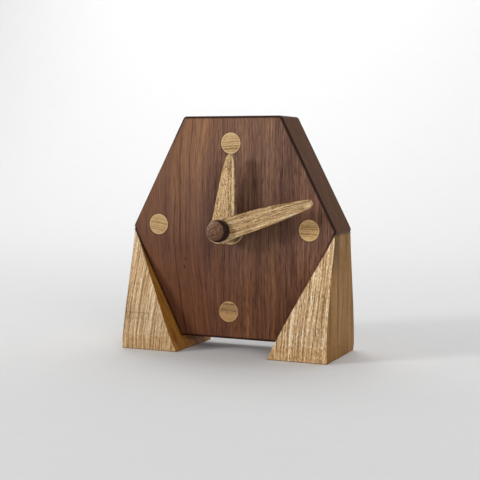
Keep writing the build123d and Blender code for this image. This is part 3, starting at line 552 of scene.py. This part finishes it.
def plated(name, tint, rough, along="x"):
    """Rolled and plated strip with faint scratches."""
    g = Mat(name, metal=1.0)
    sx, sz = (6.0, 0.16) if along == "x" else (0.16, 6.0)
    roll = g.noise(g.x / sx, g.y / 1.5, g.z / sz, 2.0, 0.6)
    cloud = g.noise(g.x / 3.0, g.y / 3.0, g.z / 3.0, 3.0, 0.6)
    g.color(g.shade(tint, 1.0 + roll * 0.04 + cloud * 0.09))
    g.rough(rough + roll * 0.05 + cloud * 0.08)
    g.bump(roll * 0.004)
    return g.m


def rubber():
    g = Mat("gasket_rubber", spec=0.3)
    a = g.noise(g.x / 0.35, g.y / 0.35, g.z / 0.35, 3.0, 0.6)
    dust = g.noise(g.x / 3.0, g.y / 3.0, g.z / 3.0, 3.0, 0.6).ss(0.1, 0.8)
    g.color(g.mix(dust * 0.25, srgb(38, 38, 38), srgb(78, 76, 74)))
    g.rough(0.82 + a * 0.08)
    g.bump(a * 0.02)
    return g.m


def magnet():
    g = Mat("ferrite", metal=0.35)
    a = g.noise(g.x / 0.3, g.y / 0.3, g.z / 0.3, 3.0, 0.6)
    g.color(g.shade(srgb(78, 78, 82), 1.0 + a * 0.2))
    g.rough(0.5 + a * 0.12)
    g.bump(a * 0.012)
    return g.m


def winding():
    g = Mat("enamelled_wire", metal=0.85, coat=0.6)
    turn = (g.x * (2.0 * pi / 0.16)).sin()
    layer = g.noise(g.x / 1.4, g.y / 1.4, g.z / 1.4, 2.0, 0.5)
    g.color(g.shade(g.mix(turn.lin(-1.0, 1.0), srgb(120, 58, 26), srgb(206, 122, 66)), 1.0 + layer * 0.14))
    g.rough(0.32 + layer * 0.06)
    g.bump(turn * 0.02)
    return g.m


def board():
    g = Mat("phenolic_board", spec=0.45)
    weave = g.noise(g.x / 0.35, g.y, g.z / 2.4, 2.0, 0.6)
    cloud = g.noise(g.x / 5.0, g.y / 5.0, g.z / 5.0, 2.0, 0.5)
    g.color(g.shade(srgb(150, 112, 58), 1.0 + weave * 0.10 + cloud * 0.10))
    g.rough(0.45 + weave * 0.08)
    g.bump(weave * 0.01)
    return g.m


def resin():
    g = Mat("chip_resin", spec=0.6)
    a = g.noise(g.x / 1.6, g.y / 1.6, g.z / 1.6, 3.0, 0.5)
    g.color(g.shade(srgb(28, 28, 30), 1.0 + a * 0.2))
    g.rough(0.28 + a * 0.08)
    g.bump(a * 0.03)
    return g.m


def cell():
    """Plain cell: dark grey jacket with a copper-coloured band at the positive end, bare metal ends."""
    g = Mat("cell_jacket", coat=0.35)
    lo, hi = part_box("aa_cell")
    x0, x1 = lo[0] * 1000.0, hi[0] * 1000.0
    mid_y, mid_z = (lo[1] + hi[1]) * 500.0, (lo[2] + hi[2]) * 500.0
    x, y, z = g.x, g.y, g.z
    r = ((y - mid_y) ** 2.0 + (z - mid_z) ** 2.0).sqrt()
    scuff = g.noise(x / 1.5, y / 1.5, z / 1.5, 3.0, 0.65)
    line = g.noise(x / 9.0, y / 0.5, z / 0.5, 2.0, 0.6)
    band = x.ss(x0 + 13.4, x0 + 13.6, 1.0, 0.0) if POSITIVE_LEFT else x.ss(x1 - 13.6, x1 - 13.4)
    jacket = g.mix(band, srgb(66, 68, 72), srgb(176, 118, 72))
    jacket = g.shade(jacket, 1.0 + scuff * 0.10 + line * 0.05)
    bare = (x - x0).min(x1 - x).ss(1.5, 1.3)
    bare = bare.max(r.ss(6.2, 6.0))
    metal = g.shade(srgb(196, 196, 196), 1.0 + scuff * 0.08)
    g.color(g.mix(bare, jacket, metal))
    g.put(g.b.inputs["Metallic"], bare * 0.75 + 0.25)
    g.rough(0.34 + scuff * 0.08)
    g.bump(scuff * 0.01 + line * 0.004)
    return g.m


POSITIVE_LEFT = True

# ---------------------------------------------------------------- assign
white = acetal("acetal_white", srgb(226, 225, 218))
cream = acetal("acetal_cream", srgb(214, 205, 182))
steel = turned_metal("bright_steel", srgb(196, 197, 200), 0.30)
brass = turned_metal("turned_brass", srgb(206, 172, 104), 0.30)
strip = plated("nickel_strip", srgb(200, 199, 194), 0.28)

look = {
    "body": walnut_body(),
    "left_leg": ash_leg("left_leg_ash", -1.0),
    "right_leg": ash_leg("right_leg_ash", 1.0),
    "leg_dowels": dowel_wood(),
    "inlay_12": inlay_wood("inlay_12_wood", MARKS["12"], 3.0, 2.0,
                           [(3.9, 0.30, 0.7), (2.4, 0.45, 0.75), (0.8, 0.60, 0.7), (-0.3, 0.30, 0.5),
                            (-1.7, 0.95, 0.75), (-3.1, 1.00, 0.8), (-4.6, 0.40, 0.6)]),
    "inlay_3": inlay_wood("inlay_3_wood", MARKS["3"], -3.0, 9.0,
                          [(4.2, 0.50, 0.6), (3.0, 0.65, 0.6), (1.9, 0.80, 0.65), (0.7, 0.85, 0.6), (-0.5, 0.45, 0.5),
                           (-1.9, 0.95, 0.7), (-3.2, 0.40, 0.6)], (1.0, 0.95, 0.87)),
    "inlay_6": inlay_wood("inlay_6_wood", MARKS["6"], -2.0, 5.0,
                          [(4.1, 1.00, 0.75), (1.9, 0.35, 0.7), (0.7, 0.80, 0.7), (-0.5, 0.32, 0.7)], (0.69, 0.585, 0.485), 0.18),
    "inlay_9": inlay_wood("inlay_9_wood", MARKS["9"], -9.0, 14.0,
                          [(3.0, 0.36, 0.7), (0.8, 0.65, 0.8), (-0.9, 0.30, 0.6), (-2.0, 0.50, 0.6), (-3.1, 0.70, 0.6), (-4.4, 0.3, 0.5)],
                          (0.86, 0.825, 0.78)),
    "centre_ring": ring_wood(),
    "hour_hand": hour_wood(),
    "minute_hand": minute_wood(),
    "knob": knob_wood(),
    "fixing_washer": brass, "fixing_nut": brass, "threaded_bush": brass,
    "minute_hand_bush": brass, "hour_hand_bush": brass, "knob_insert": brass,
    "rubber_gasket": rubber(),
    "movement_case": moulded("case_black", srgb(40, 40, 42), 0.50),
    "movement_cover": moulded("cover_black", srgb(44, 44, 46), 0.46),
    "setting_knob": moulded("knob_black", srgb(52, 52, 54), 0.40, 0.012),
    "middle_plate": white, "train_bridge": cream, "coil_bobbin": cream,
    "hour_wheel": white, "minute_work_wheel": white, "seconds_wheel": white, "third_wheel": white,
    "centre_wheel": white, "intermediate_wheel": white, "rotor_pinion": white,
    "stator": plated("stator_steel", srgb(178, 178, 180), 0.40),
    "coil_core": plated("core_steel", srgb(172, 172, 175), 0.42),
    "coil_winding": winding(),
    "circuit_board": board(),
    "clock_chip": resin(),
    "quartz_crystal": plated("crystal_can", srgb(205, 205, 206), 0.24, "z"),
    "contact_positive": strip, "contact_negative": strip,
    "minute_arbor": steel,
    "rotor_magnet": magnet(),
    "aa_cell": cell(),
}
for name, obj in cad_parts.items():
    for i in range(max(1, len(obj.material_slots))):
        if len(obj.material_slots) == 0:
            obj.data.materials.append(look[name])
        else:
            obj.material_slots[i].material = look[name]


# ---------------------------------------------------------------- stage: floor that sweeps up behind
def sweep():
    import bmesh
    bm = bmesh.new()
    profile = [(-3.0, 0.0), (-1.0, 0.0), (0.0, 0.0), (0.55, 0.0)]
    rad, y0 = 0.9, 0.55
    for i in range(1, 25):
        a = radians(90.0 * i / 24)
        profile.append((y0 + rad * sin(a), rad * (1.0 - cos(a))))
    profile.append((y0 + rad, 4.0))
    rows = [[bm.verts.new((sx, py, pz)) for sx in (-4.0, 4.0)] for py, pz in profile]
    for a, b in zip(rows, rows[1:]):
        f = bm.faces.new((a[0], a[1], b[1], b[0]))
        f.smooth = True
    mesh = bpy.data.meshes.new("sweep")
    bm.to_mesh(mesh)
    bm.free()
    obj = bpy.data.objects.new("sweep", mesh)
    bpy.context.scene.collection.objects.link(obj)
    return obj


floor = sweep()
paper = Mat("pale_paper", spec=0.2)
grain = paper.noise(paper.x / 14.0, paper.y / 14.0, paper.z / 14.0, 4.0, 0.6)
paper.color(paper.shade((0.80, 0.80, 0.80), 1.0 + grain * 0.015))
paper.rough(0.9)
floor.data.materials.append(paper.m)

# ---------------------------------------------------------------- light
def area(name, at, look_at, size, power, colour=(1.0, 1.0, 1.0)):
    data = bpy.data.lights.new(name, "AREA")
    data.shape = "DISK"
    data.size = size
    data.energy = power
    data.color = colour
    obj = bpy.data.objects.new(name, data)
    bpy.context.scene.collection.objects.link(obj)
    at, look_at = Vector(at), Vector(look_at)
    obj.location = at
    obj.rotation_euler = (look_at - at).to_track_quat("-Z", "Y").to_euler()
    return obj


area("overhead_back", (0.0, 0.75, 1.5), (0.0, 1.25, 0.2), 1.4, 7.6)
area("wall_left", (-0.75, 0.85, 1.20), (-0.45, 1.35, 0.25), 0.9, 6.0)
area("overhead", (-0.15, 0.20, 1.10), (0.0, 0.0, 0.0), 0.70, 1.2)
area("front_left", (-1.05, -1.00, 0.45), (0.0, 0.0, 0.07), 0.40, 11.3)
area("front_right", (1.0, -1.1, 0.6), (0.0, 0.0, 0.07), 0.9, 7.1)
world = bpy.data.worlds.new("studio")
bpy.context.scene.world = world
world.use_nodes = True
bg = world.node_tree.nodes["Background"]
bg.inputs[0].default_value = (1.0, 1.0, 1.0, 1.0)
bg.inputs[1].default_value = 0.23

scene = bpy.context.scene
scene.view_settings.view_transform = "Standard"
scene.view_settings.look = "None"
scene.view_settings.exposure = 0.0
scene.view_settings.gamma = 1.0

# ---------------------------------------------------------------- camera
focal, yaw, pitch, roll = 1074.90055, 0.40139, -0.07948, 0.00462
px, py, pz = 239.12799, -558.56445, 111.17484
fwd = Vector((-sin(yaw) * cos(pitch), cos(yaw) * cos(pitch), sin(pitch)))
right = Vector((cos(yaw), sin(yaw), 0.0))
up = right.cross(fwd)
r2 = cos(roll) * right + sin(roll) * up
u2 = -sin(roll) * right + cos(roll) * up
cam = bpy.data.cameras.new("camera")
cam_obj = bpy.data.objects.new("camera", cam)
scene.collection.objects.link(cam_obj)
cam_obj.matrix_world = Matrix(((r2.x, u2.x, -fwd.x, px / 1000.0),
                               (r2.y, u2.y, -fwd.y, py / 1000.0),
                               (r2.z, u2.z, -fwd.z, pz / 1000.0),
                               (0.0, 0.0, 0.0, 1.0)))
cam.lens = focal * 36.0 / 480.0
cam.sensor_width = 36.0
cam.clip_start = 0.01
scene.camera = cam_obj
